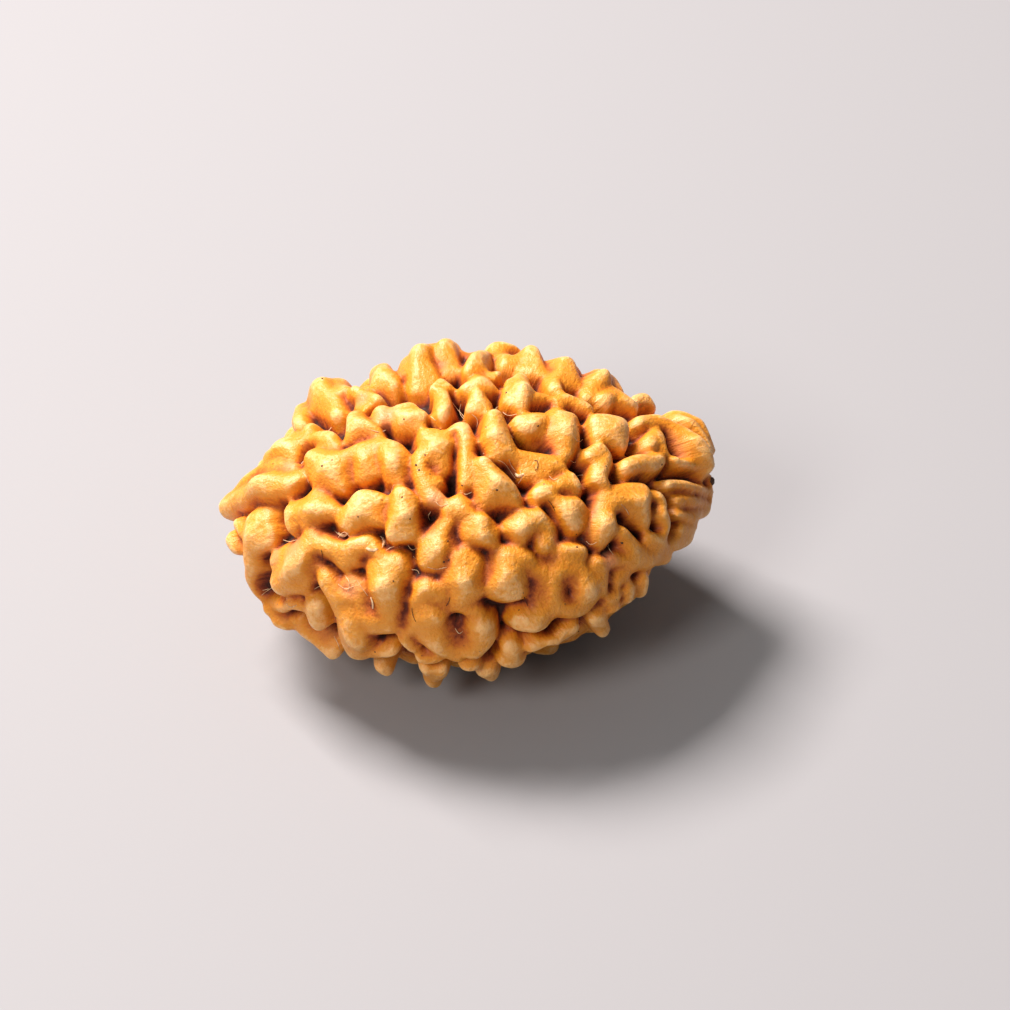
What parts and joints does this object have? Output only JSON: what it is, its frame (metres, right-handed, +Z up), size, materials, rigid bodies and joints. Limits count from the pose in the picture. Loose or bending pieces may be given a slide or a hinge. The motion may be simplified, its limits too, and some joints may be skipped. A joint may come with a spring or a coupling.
{
  "type": "rudraksha seed",
  "caption": "Dried rudraksha seed stone, an oval body covered in deep golden-brown tubercles, with a natural line from pole to pole",
  "frame": {"origin": "bottom centre of the seed's box, on the surface that it rests on", "axes": "+X runs lengthwise from the keeled pole to the blunt pole, +Y is the seed's back, +Z is up"},
  "size_m": [0.024, 0.0186, 0.0139],
  "materials": {
    "polished_seed_stone": "dry woody seed stone with a light oiled sheen"
  },
  "bodies": {
    "root": {"seed_stone": "polished_seed_stone"}
  },
  "joints": []
}
